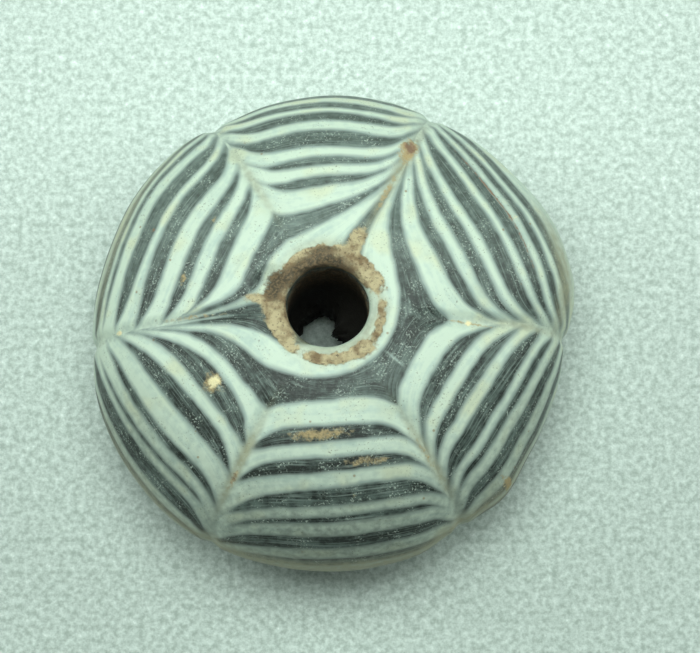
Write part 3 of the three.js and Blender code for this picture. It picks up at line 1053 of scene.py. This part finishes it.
@dataclass
class Whorl:
    """The whole whorl as one closed mesh with the trail, flow and dirt stored at its points."""

    section: Section = field(default_factory=Section)
    finish: TrailedGlassFinish = field(default_factory=TrailedGlassFinish)
    columns_per_panel: int = 72
    crowding: float = 0.5
    # Guards against dividing by nothing, and the limits between which the combed lay's steepness counts.
    least_step: float = 1e-3
    least_turn: float = 1e-4
    steepness: tuple[float, float] = (0.6, 8.0)
    # The streaks are laid out on a drum of this radius, so they join all the way round.
    flow_radius: float = 8.0
    lump_size: float = 0.5
    wave_size: float = 3.0
    # Mean and swing of what is worn or raised at each place.
    rim_lumps: tuple[float, float] = (0.6, 1.0)
    patch_lumps: tuple[float, float] = (1.0, 0.4)
    ring_amounts: tuple[float, float] = (1.05, 0.45)
    ring_lumps: tuple[float, float] = (0.6, 0.5)
    wall_lumps: tuple[float, float] = (0.6, 0.6)
    foot_lumps: tuple[float, float] = (0.9, 0.2)
    clod_lumps: tuple[float, float] = (0.95, 0.05)
    waviness: float = 0.02
    trail_stand: float = 0.025
    trail_shoulder: tuple[float, float] = (-0.12, 0.12)
    crease_half_width: float = 0.7
    crease_cover: float = 0.48
    crease_edge: tuple[float, float] = (3.5, 6.0)
    # Worn stretch of the rim: the middle and half of its turn, then the same along the dome.
    wear_turn: tuple[float, float] = (125.0, 100.0)
    wear_run: tuple[float, float] = (-0.8, 1.0)
    rim_wear: float = 0.13
    # The ring of soil round the bore: its middle along the dome, and how far it reaches to either side.
    soil_ring: tuple[float, float] = (-0.25, 0.62)
    soil_ring_height: float = 0.05
    # Painted sheen: the dark glass is painted paler on the far side, which faces the key light. Its edge is
    # given across the whorl, from the axis.
    painted_sheen: float = 0.5
    painted_sheen_edge: tuple[float, float] = (-1.0, 6.0)
    # Distances go on below 0 down the wall of the bore.
    mud_amount: float = 0.95
    mud_edge: tuple[float, float] = (-3.4, -1.4)
    # Below this edge the bore's wall is painted near-black, as painted shade.
    bore_shade_edge: tuple[float, float] = (-9.5, -3.4)
    wall_crust: float = 0.07
    wall_crust_run: tuple[float, float] = (-3.2, 1.8)
    foot_crust: float = 0.6
    foot_edge: tuple[float, float] = (-13.5, -9.0)
    clod_turn: tuple[float, float] = (25.0, 85.0)
    clod_run: tuple[float, float] = (-12.5, 4.5)
    clod_height: float = 2.1

    def build(self) -> bpy.types.Object:
        """Builds and dresses the whorl.

        Returns:
            The Blender object, riding on the root body.
        """
        self.work = HandWork(self.section)
        self.trail = CombedTrail(self.work)
        self._lay_grid()
        self._colour_grid()
        self._raise_grid()
        piece = self._mesh_object()
        piece.data.materials.append(self.finish.build())
        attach(piece, "root")
        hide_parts("whorl")
        return piece

    def _lay_grid(self) -> None:
        """Lays out rows round the section and columns round the axis, with columns crowded at furrows."""
        points = self.section.points()
        after = np.roll(points, -1, 0)
        before = np.roll(points, 1, 0)
        along = (after - before) / np.linalg.norm(after - before, axis=1)[:, None]
        steps = np.linalg.norm(points - before, axis=1)
        steps[:self.section.lip_rows + 1] = 0.0
        distance = np.cumsum(steps)
        self.dome_end = self.section.lip_rows + self.section.dome_rows
        self.under_end = self.dome_end + self.section.underside_rows
        self.equator_distance = float(distance[self.dome_end])
        lip = np.linalg.norm(np.diff(points[:self.section.lip_rows + 1], axis=0), axis=1)
        distance[:self.section.lip_rows] = -np.cumsum(lip[::-1])[::-1]
        bore_rows = self.section.bore_rows - 1
        depth = self.section.height - self.section.top_lip - points[-bore_rows:, 1]
        distance[-bore_rows:] = distance[0] - depth
        shape = (len(points), self.columns_per_panel * len(FURROWS))
        self.row_radius, self.row_height = points[:, 0], points[:, 1]
        self.out_radius, self.out_height = -along[:, 1], along[:, 0]
        self.distance = np.repeat(distance[:, None], shape[1], 1)
        self.radius = np.repeat(self.row_radius[:, None], shape[1], 1)
        self.panel = np.arange(shape[1]) // self.columns_per_panel
        plain = (np.arange(shape[1]) % self.columns_per_panel) / self.columns_per_panel
        crowd = self.crowding * smooth_step(distance, 0.0, self.equator_distance / 2)[:, None]
        self.share = plain[None, :] - crowd * np.sin(2 * math.pi * plain[None, :]) / (2 * math.pi)
        self.bearing = np.empty(shape)
        self.span = np.empty(shape)
        for panel in range(len(FURROWS)):
            columns = self.panel == panel
            start = self.work.furrow_bearing(panel, distance)[:, None]
            end = self.work.furrow_bearing(panel + 1, distance)[:, None]
            self.bearing[:, columns] = start + (end - start) * self.share[:, columns]
            self.span[:, columns] = end - start

    def _colour_grid(self) -> None:
        """Works out at each point how deep in white or dark glass it is, and how the glass flowed there."""
        along = self.distance - self.trail.zero
        width = np.radians(self.span) * self.radius
        self.lay = np.empty_like(along)
        white = np.empty_like(along)
        for panel in range(len(FURROWS)):
            columns = self.panel == panel
            share, wide = self.share[:, columns], width[:, columns]
            lay = self.trail.lay(along[:, columns], share * wide, (1 - share) * wide, panel)
            self.lay[:, columns] = lay
            white[:, columns] = self.trail.inside_white(lay, panel, share)
            smear = self.trail.smeared(along[:, columns], share * wide, (1 - share) * wide, panel)
            white[:, columns] += smear
        self.away = np.minimum(self.share, 1 - self.share) * width
        angle = np.radians(self.bearing)
        across = np.unwrap(angle, axis=1)
        step = np.maximum(self.least_step, np.abs(np.gradient(self.distance, axis=0)))
        turn = np.maximum(self.least_turn, np.abs(np.gradient(across, axis=1)))
        down = np.gradient(self.lay, axis=0) / step
        sideways = np.gradient(self.lay, axis=1) / turn / self.radius
        steep = np.sqrt(down ** 2 + sideways ** 2)
        self.edge = np.clip(white / np.clip(steep, *self.steepness), -1.0, 1.0)
        outside = np.zeros(len(self.row_radius), bool)
        outside[:self.under_end] = True
        self.edge[~outside] = -1.0

    def _raise_grid(self) -> None:
        """Moves the grid onto the hand-worked surface and raises the deposits on it."""
        angle = np.radians(self.bearing)
        radius = self.radius + self.work.shift(self.bearing, self.radius)
        x, y = radius * np.cos(angle), radius * np.sin(angle)
        z = np.repeat(self.row_height[:, None], self.bearing.shape[1], 1)
        cut = self.work.chip_cut(x, y, z)
        carved = self.work.furrow_cut(self.bearing, self.radius, self.distance, self.equator_distance)
        outside = slice(self.section.lip_rows, self.under_end)
        cut[outside] += carved[outside]
        along = self.distance - self.trail.zero
        lumps = Ripple(SEED, self.lump_size).at(x, y, z)
        worn = self._around(self.wear_turn) * self._down(self.wear_run)
        cut += self.rim_wear * worn * uneven(lumps, *self.rim_lumps)
        cut += self.waviness * Ripple(SEED + 1, self.wave_size).at(x, y, z)
        cut -= self.trail_stand * smooth_step(self.edge, *self.trail_shoulder)
        self.dirt = {kind: np.zeros_like(x) for kind in Dirt}
        for patch in PATCHES:
            amount = patch.amount_at(self.bearing, self.radius, self.lay if patch.combed else along)
            self.dirt[patch.kind] += amount
            cut -= patch.height * np.clip(amount, 0, 1) * uneven(lumps, *self.patch_lumps)
        ring = self._down(self.soil_ring) * uneven(lumps, *self.ring_amounts)
        self.dirt[Dirt.SOIL] += ring
        # Painted sheen: the far side of the dark glass is painted paler, as if lit by the key light.
        self.dirt[Dirt.BLOOM] += self.painted_sheen * smooth_step(y, *self.painted_sheen_edge)
        self.dirt[Dirt.MUD] += self.mud_amount * (1.0 - smooth_step(along, *self.mud_edge))
        # Painted shade: deep in the bore the wall is painted near-black.
        self.bore = 1.0 - smooth_step(along, *self.bore_shade_edge)
        cut -= self.soil_ring_height * ring * uneven(lumps, *self.ring_lumps)
        cut -= self.wall_crust * self._down(self.wall_crust_run) * uneven(lumps, *self.wall_lumps)
        foot = 1.0 - smooth_step(along, *self.foot_edge)
        cut -= self.foot_crust * foot * uneven(lumps, *self.foot_lumps)
        cut[self.under_end:self.under_end + self.section.base_rows] = 0.0
        clod = self._around(self.clod_turn) * self._down(self.clod_run)
        cut -= self.clod_height * clod * uneven(lumps, *self.clod_lumps)
        self.crease = self.crease_cover * hollow(self.away, self.crease_half_width)
        self.crease *= smooth_step(along, *self.crease_edge)
        self.x = (radius - cut * self.out_radius[:, None]) * np.cos(angle)
        self.y = (radius - cut * self.out_radius[:, None]) * np.sin(angle)
        self.z = z - cut * self.out_height[:, None]

    def _around(self, turn: tuple[float, float]) -> np.ndarray:
        """A stretch of the whorl's turn, 1 at its middle bearing and 0 beyond half its length."""
        return hollow(wrapped(self.bearing - turn[0]), turn[1])

    def _down(self, run: tuple[float, float]) -> np.ndarray:
        """A band round the axis, 1 at its middle distance and 0 beyond half its width."""
        return hollow(self.distance - self.trail.zero - run[0], run[1])

    def _mesh_object(self) -> bpy.types.Object:
        """Turns the grid into a closed mesh, kept inside the box of the CAD solid.

        Returns:
            The Blender object, with what the finish reads stored at its points.
        """
        rows, columns = self.x.shape
        points = np.stack([self.x, self.y, self.z], 2).reshape(-1, 3) * MM
        low, high = (np.array(corner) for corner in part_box("whorl"))
        points = np.clip(points, low, high)
        row, column = np.meshgrid(np.arange(rows), np.arange(columns), indexing="ij")
        next_row, next_column = (row + 1) % rows, (column + 1) % columns
        corners = [row * columns + column, next_row * columns + column]
        corners += [next_row * columns + next_column, row * columns + next_column]
        faces = np.stack(corners, 2).reshape(-1, 4)
        mesh = bpy.data.meshes.new("whorl_glass_body")
        mesh.from_pydata(points.tolist(), [], faces.tolist())
        angle = np.radians(self.bearing)
        flow = np.stack([self.flow_radius * np.cos(angle), self.flow_radius * np.sin(angle), self.lay], 2)
        values = {"trail_edge": self.edge, "crease": self.crease, "bore": self.bore}
        values.update({kind.value: self.dirt[kind] for kind in Dirt})
        for name, value in values.items():
            layer = mesh.attributes.new(name, "FLOAT", "POINT")
            layer.data.foreach_set("value", value.astype(np.float32).ravel())
        layer = mesh.attributes.new("flow", "FLOAT_VECTOR", "POINT")
        layer.data.foreach_set("vector", flow.astype(np.float32).ravel())
        mesh.polygons.foreach_set("use_smooth", np.ones(len(mesh.polygons), bool))
        mesh.update()
        piece = bpy.data.objects.new("whorl_glass_body", mesh)
        bpy.context.scene.collection.objects.link(piece)
        return piece


@dataclass(frozen=True)
class FloorFinish:
    """Fine-grained pale studio board, matt, with a faint green-grey speckle."""

    pale: str = "#d8e0dc"
    grey: str = "#acb7b1"
    fleck: str = "#f1f6f4"
    # Size of the speckle in mm.
    grain: float = 0.5
    pale_areas: tuple[float, float] = (0.36, 0.6)
    fleck_areas: tuple[float, float] = (0.62, 0.72)
    roughness: float = 0.85
    relief_strength: float = 0.3
    relief_depth: float = 0.05

    def build(self) -> bpy.types.Material:
        """Makes the material.

        Returns:
            The speckled board.
        """
        material = bpy.data.materials.new("studio_board_matt_speckled")
        bench = NodeBench(material)
        place = bench.add("TexCoord", out="Object")
        speckle = {"Vector": place, "Scale": 1 / (self.grain * MM), "Detail": 4.0, "Roughness": 0.7}
        grain = bench.add("TexNoise", speckle, "Fac")
        colour = coated(bench, linear_colour(self.grey), [
            (bench.add("MapRange", rise(grain, *self.pale_areas)), linear_colour(self.pale)),
            (bench.add("MapRange", rise(grain, *self.fleck_areas)), linear_colour(self.fleck)),
        ])
        depth = self.relief_depth * MM
        bump = bench.add("Bump", {"Strength": self.relief_strength, "Distance": depth, "Height": grain})
        skin = {"Base Color": colour, "Roughness": self.roughness, "Normal": bump}
        shader = bench.add("BsdfPrincipled", skin)
        bench.add("OutputMaterial", {"Surface": shader})
        return material


@dataclass
class Studio:
    """The floor, the lights and the camera."""

    section: Section
    floor_half_width: float = 400.0
    camera_elevation: float = 78.0
    camera_distance: float = 300.0
    field_width: float = 51.04
    aim_right: float = 1.6
    aim_up: float = 0.35
    sensor_width: float = 36.0
    key_power: float = 0.053
    key_place: tuple[float, float, float] = (-2.0, 38.0, 165.0)
    key_aim: tuple[float, float, float] = (0.0, 30.0, 0.0)
    key_size: float = 125.0
    key_spread: float = 64.0
    lamp_colour: str = "#eefff6"
    side_power: float = 0.18
    side_place: tuple[float, float, float] = (190.0, 60.0, 140.0)
    side_size: float = 120.0
    sky_strength: float = 0.19
    sky_colour: str = "#e2efe7"

    def build(self) -> None:
        """Sets up the floor, the lights and the camera."""
        self._floor()
        self._lights()
        self._camera()

    def _floor(self) -> None:
        """Lays the board that the whorl lies on."""
        half = self.floor_half_width * MM
        corners = [(-half, -half, 0), (half, -half, 0), (half, half, 0), (-half, half, 0)]
        mesh = bpy.data.meshes.new("studio_board")
        mesh.from_pydata(corners, [], [(0, 1, 2, 3)])
        floor = bpy.data.objects.new("studio_board", mesh)
        bpy.context.scene.collection.objects.link(floor)
        mesh.materials.append(FloorFinish().build())

    def _lights(self) -> None:
        """Hangs a soft light overhead and one on either side, under a dim and even sky."""
        key = self._soft_box("soft_key", self.key_place, self.key_aim, self.key_size, self.key_power)
        key.spread = math.radians(self.key_spread)
        across, back, up = self.side_place
        for name, place in (("soft_left", (-across, back, up)), ("soft_right", self.side_place)):
            self._soft_box(name, place, (0.0, 0.0, 0.0), self.side_size, self.side_power)
        world = bpy.data.worlds.new("studio_sky")
        world.use_nodes = True
        sky = world.node_tree.nodes["Background"]
        sky.inputs["Color"].default_value = linear_colour(self.sky_colour)
        sky.inputs["Strength"].default_value = self.sky_strength
        bpy.context.scene.world = world
        bpy.context.scene.view_settings.view_transform = "Standard"

    def _soft_box(
        self, name: str, place: tuple, aim: tuple, size: float, power: float
    ) -> bpy.types.AreaLight:
        """Hangs one square soft light.

        Args:
            name: The light's name.
            place: Where it hangs.
            aim: The point that it faces.
            size: Length of its side.
            power: Its power in watts.

        Returns:
            The light's settings.
        """
        data = bpy.data.lights.new(name, "AREA")
        data.shape = "SQUARE"
        data.size = size * MM
        data.energy = power
        data.color = linear_colour(self.lamp_colour)[:3]
        lamp = bpy.data.objects.new(name, data)
        lamp.location = Vector(place) * MM
        lamp.rotation_euler = (Vector(place) - Vector(aim)).to_track_quat("Z", "Y").to_euler()
        bpy.context.scene.collection.objects.link(lamp)
        return data

    def _camera(self) -> None:
        """Stands the camera almost straight above, a little toward the near side."""
        data = bpy.data.cameras.new("camera")
        data.sensor_width = self.sensor_width
        data.lens = self.sensor_width * self.camera_distance / self.field_width
        camera = bpy.data.objects.new("camera", data)
        turn = math.radians(self.camera_elevation)
        away = Vector((0.0, -math.cos(turn), math.sin(turn)))
        up = Vector((0.0, math.sin(turn), math.cos(turn)))
        middle = Vector((self.aim_right, 0.0, self.section.equator_height)) + up * self.aim_up
        camera.location = (middle + away * self.camera_distance) * MM
        camera.rotation_euler = away.to_track_quat("Z", "Y").to_euler()
        bpy.context.scene.collection.objects.link(camera)
        bpy.context.scene.camera = camera


def main() -> None:
    """Builds the studio and the whorl."""
    logging.basicConfig(level=logging.INFO, format="%(name)s: %(message)s")
    section = Section()
    Studio(section).build()
    LOG.info("studio: board, three soft lights, sky and camera")
    piece = Whorl(section).build()
    LOG.info("%s: %d points, %d faces", piece.name, len(piece.data.vertices), len(piece.data.polygons))
    LOG.info("combed furrows: %s", ", ".join(furrow.name for furrow in FURROWS))


if __name__ == "__main__":
    main()
